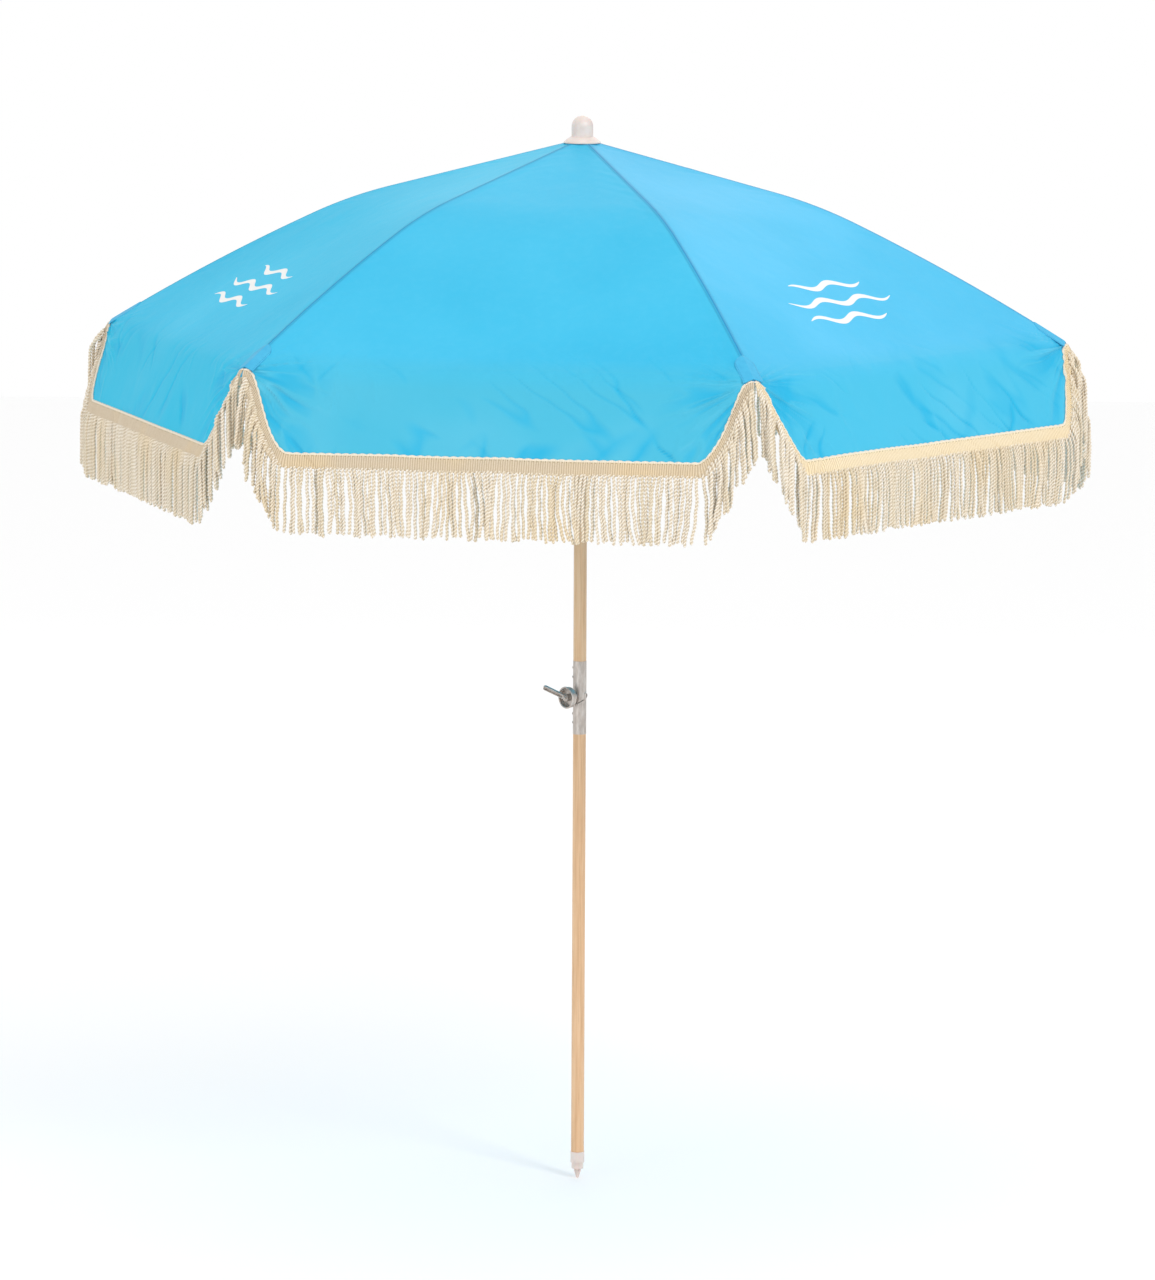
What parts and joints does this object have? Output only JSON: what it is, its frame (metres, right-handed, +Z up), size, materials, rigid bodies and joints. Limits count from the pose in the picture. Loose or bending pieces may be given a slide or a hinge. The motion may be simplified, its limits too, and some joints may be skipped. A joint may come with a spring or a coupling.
{
  "type": "beach_umbrella",
  "caption": "Beach umbrella with a blue nylon canopy, a deep valance edged with cream cotton bullion fringe, a wooden pole with a steel tilt joint, and white plastic fittings",
  "frame": {"origin": "tip of the ground spike, on the pole's axis", "axes": "+Z up along the pole; -Y is the front of the open umbrella"},
  "size_m": [1.8624, 1.8228, 2.05],
  "materials": {
    "wood": "satin clear lacquer on ash",
    "steel": "bright plated steel",
    "plastic": "moulded off-white plastic",
    "canopy_cloth": "plain woven nylon with a slight shine",
    "fringe_cotton": "twisted natural cotton"
  },
  "bodies": {
    "lower_pole": {"ground_spike": "plastic", "lower_pole": "wood", "lower_sleeve": "steel", "lower_sleeve_rivets": "steel", "pivot_bolt": "steel", "pivot_spacer": "steel", "cup_washer": "steel"},
    "clamp_lever": {"clamp_lever": "steel"},
    "upper_pole": {"upper_sleeve": "steel", "upper_sleeve_rivets": "steel", "upper_pole": "wood", "crown_hub": "plastic", "crown_pin_ring": "steel", "canopy_washer": "plastic", "finial_cap": "plastic"},
    "catch": {"catch_spring": "steel"},
    "runner": {"runner": "plastic", "runner_pin_ring": "steel"},
    "rib_1": {"rib_1": "steel", "rib_clip_1": "steel", "rib_tip_1": "plastic", "canopy_1": "canopy_cloth"},
    "stretcher_1": {"stretcher_1": "steel"},
    "valance_1": {"valance_1": "canopy_cloth", "fringe_1": "fringe_cotton"},
    "rib_2": {"rib_2": "steel", "rib_clip_2": "steel", "rib_tip_2": "plastic", "canopy_2": "canopy_cloth"},
    "stretcher_2": {"stretcher_2": "steel"},
    "valance_2": {"valance_2": "canopy_cloth", "fringe_2": "fringe_cotton"},
    "rib_3": {"rib_3": "steel", "rib_clip_3": "steel", "rib_tip_3": "plastic", "canopy_3": "canopy_cloth"},
    "stretcher_3": {"stretcher_3": "steel"},
    "valance_3": {"valance_3": "canopy_cloth", "fringe_3": "fringe_cotton"},
    "rib_4": {"rib_4": "steel", "rib_clip_4": "steel", "rib_tip_4": "plastic", "canopy_4": "canopy_cloth"},
    "stretcher_4": {"stretcher_4": "steel"},
    "valance_4": {"valance_4": "canopy_cloth", "fringe_4": "fringe_cotton"},
    "rib_5": {"rib_5": "steel", "rib_clip_5": "steel", "rib_tip_5": "plastic", "canopy_5": "canopy_cloth"},
    "stretcher_5": {"stretcher_5": "steel"},
    "valance_5": {"valance_5": "canopy_cloth", "fringe_5": "fringe_cotton"},
    "rib_6": {"rib_6": "steel", "rib_clip_6": "steel", "rib_tip_6": "plastic", "canopy_6": "canopy_cloth"},
    "stretcher_6": {"stretcher_6": "steel"},
    "valance_6": {"valance_6": "canopy_cloth", "fringe_6": "fringe_cotton"}
  },
  "joints": [
    {"name": "pole_tilt", "type": "hinge", "parent": "lower_pole", "child": "upper_pole", "pos_m": [0, 0, 0.942], "axis": [0.7431, 0.6691, 0], "range_deg": [0, 45]},
    {"name": "clamp_turn", "type": "hinge", "parent": "lower_pole", "child": "clamp_lever", "pos_m": [0, 0, 0.942], "axis": [-0.7431, -0.6691, 0], "range_deg": [0, 300]},
    {"name": "runner_slide", "type": "slide", "parent": "upper_pole", "child": "runner", "axis": [0, 0, 1], "range_m": [-0.5386, 0], "deforming": ["canopy_1", "canopy_2", "canopy_3", "canopy_4", "canopy_5", "canopy_6", "valance_1", "valance_2", "valance_3", "valance_4", "valance_5", "valance_6", "fringe_1", "fringe_2", "fringe_3", "fringe_4", "fringe_5", "fringe_6", "catch_spring"]},
    {"name": "catch_press", "type": "slide", "parent": "upper_pole", "child": "catch", "axis": [0, 1, 0], "range_m": [0, 0.005], "stiffness_N_per_m": 800},
    {"name": "rib_1_fold", "type": "hinge", "parent": "upper_pole", "child": "rib_1", "pos_m": [0.01965, -0.00373, 1.994], "axis": [0.1865, 0.9825, 0], "range_deg": [-0.5, 68.5]},
    {"name": "stretcher_1_fold", "type": "hinge", "parent": "runner", "child": "stretcher_1", "pos_m": [0.02161, -0.0041, 1.68], "axis": [0.1865, 0.9825, 0], "range_deg": [-57.5, 0.5]},
    {"name": "valance_1_hang", "type": "hinge", "parent": "rib_1", "child": "valance_1", "pos_m": [0.90877, -0.17253, 1.64001], "axis": [0.1865, 0.9825, 0], "range_deg": [-39.5, 0.5]},
    {"name": "rib_2_fold", "type": "hinge", "parent": "upper_pole", "child": "rib_2", "pos_m": [0.01306, 0.01515, 1.994], "axis": [-0.7576, 0.6528, 0], "range_deg": [-0.5, 68.5]},
    {"name": "stretcher_2_fold", "type": "hinge", "parent": "runner", "child": "stretcher_2", "pos_m": [0.01436, 0.01667, 1.68], "axis": [-0.7576, 0.6528, 0], "range_deg": [-57.5, 0.5]},
    {"name": "valance_2_hang", "type": "hinge", "parent": "rib_2", "child": "valance_2", "pos_m": [0.6038, 0.70075, 1.64001], "axis": [-0.7576, 0.6528, 0], "range_deg": [-39.5, 0.5]},
    {"name": "rib_3_fold", "type": "hinge", "parent": "upper_pole", "child": "rib_3", "pos_m": [-0.00659, 0.01888, 1.994], "axis": [-0.9441, -0.3297, 0], "range_deg": [-0.5, 68.5]},
    {"name": "stretcher_3_fold", "type": "hinge", "parent": "runner", "child": "stretcher_3", "pos_m": [-0.00725, 0.02077, 1.68], "axis": [-0.9441, -0.3297, 0], "range_deg": [-57.5, 0.5]},
    {"name": "valance_3_hang", "type": "hinge", "parent": "rib_3", "child": "valance_3", "pos_m": [-0.30496, 0.87328, 1.64001], "axis": [-0.9441, -0.3297, 0], "range_deg": [-39.5, 0.5]},
    {"name": "rib_4_fold", "type": "hinge", "parent": "upper_pole", "child": "rib_4", "pos_m": [-0.01965, 0.00373, 1.994], "axis": [-0.1865, -0.9825, 0], "range_deg": [-0.5, 68.5]},
    {"name": "stretcher_4_fold", "type": "hinge", "parent": "runner", "child": "stretcher_4", "pos_m": [-0.02161, 0.0041, 1.68], "axis": [-0.1865, -0.9825, 0], "range_deg": [-57.5, 0.5]},
    {"name": "valance_4_hang", "type": "hinge", "parent": "rib_4", "child": "valance_4", "pos_m": [-0.90877, 0.17253, 1.64001], "axis": [-0.1865, -0.9825, 0], "range_deg": [-39.5, 0.5]},
    {"name": "rib_5_fold", "type": "hinge", "parent": "upper_pole", "child": "rib_5", "pos_m": [-0.01306, -0.01515, 1.994], "axis": [0.7576, -0.6528, 0], "range_deg": [-0.5, 68.5]},
    {"name": "stretcher_5_fold", "type": "hinge", "parent": "runner", "child": "stretcher_5", "pos_m": [-0.01436, -0.01667, 1.68], "axis": [0.7576, -0.6528, 0], "range_deg": [-57.5, 0.5]},
    {"name": "valance_5_hang", "type": "hinge", "parent": "rib_5", "child": "valance_5", "pos_m": [-0.6038, -0.70075, 1.64001], "axis": [0.7576, -0.6528, 0], "range_deg": [-39.5, 0.5]},
    {"name": "rib_6_fold", "type": "hinge", "parent": "upper_pole", "child": "rib_6", "pos_m": [0.00659, -0.01888, 1.994], "axis": [0.9441, 0.3297, 0], "range_deg": [-0.5, 68.5]},
    {"name": "stretcher_6_fold", "type": "hinge", "parent": "runner", "child": "stretcher_6", "pos_m": [0.00725, -0.02077, 1.68], "axis": [0.9441, 0.3297, 0], "range_deg": [-57.5, 0.5]},
    {"name": "valance_6_hang", "type": "hinge", "parent": "rib_6", "child": "valance_6", "pos_m": [0.30496, -0.87328, 1.64001], "axis": [0.9441, 0.3297, 0], "range_deg": [-39.5, 0.5]}
  ],
  "couplings": [
    {"joint": "rib_1_fold", "follows": "runner_slide", "rad_per_m": -2.2035},
    {"joint": "stretcher_1_fold", "follows": "runner_slide", "rad_per_m": 1.8495},
    {"joint": "valance_1_hang", "follows": "runner_slide", "rad_per_m": 1.2638},
    {"joint": "rib_2_fold", "follows": "runner_slide", "rad_per_m": -2.2035},
    {"joint": "stretcher_2_fold", "follows": "runner_slide", "rad_per_m": 1.8495},
    {"joint": "valance_2_hang", "follows": "runner_slide", "rad_per_m": 1.2638},
    {"joint": "rib_3_fold", "follows": "runner_slide", "rad_per_m": -2.2035},
    {"joint": "stretcher_3_fold", "follows": "runner_slide", "rad_per_m": 1.8495},
    {"joint": "valance_3_hang", "follows": "runner_slide", "rad_per_m": 1.2638},
    {"joint": "rib_4_fold", "follows": "runner_slide", "rad_per_m": -2.2035},
    {"joint": "stretcher_4_fold", "follows": "runner_slide", "rad_per_m": 1.8495},
    {"joint": "valance_4_hang", "follows": "runner_slide", "rad_per_m": 1.2638},
    {"joint": "rib_5_fold", "follows": "runner_slide", "rad_per_m": -2.2035},
    {"joint": "stretcher_5_fold", "follows": "runner_slide", "rad_per_m": 1.8495},
    {"joint": "valance_5_hang", "follows": "runner_slide", "rad_per_m": 1.2638},
    {"joint": "rib_6_fold", "follows": "runner_slide", "rad_per_m": -2.2035},
    {"joint": "stretcher_6_fold", "follows": "runner_slide", "rad_per_m": 1.8495},
    {"joint": "valance_6_hang", "follows": "runner_slide", "rad_per_m": 1.2638}
  ]
}
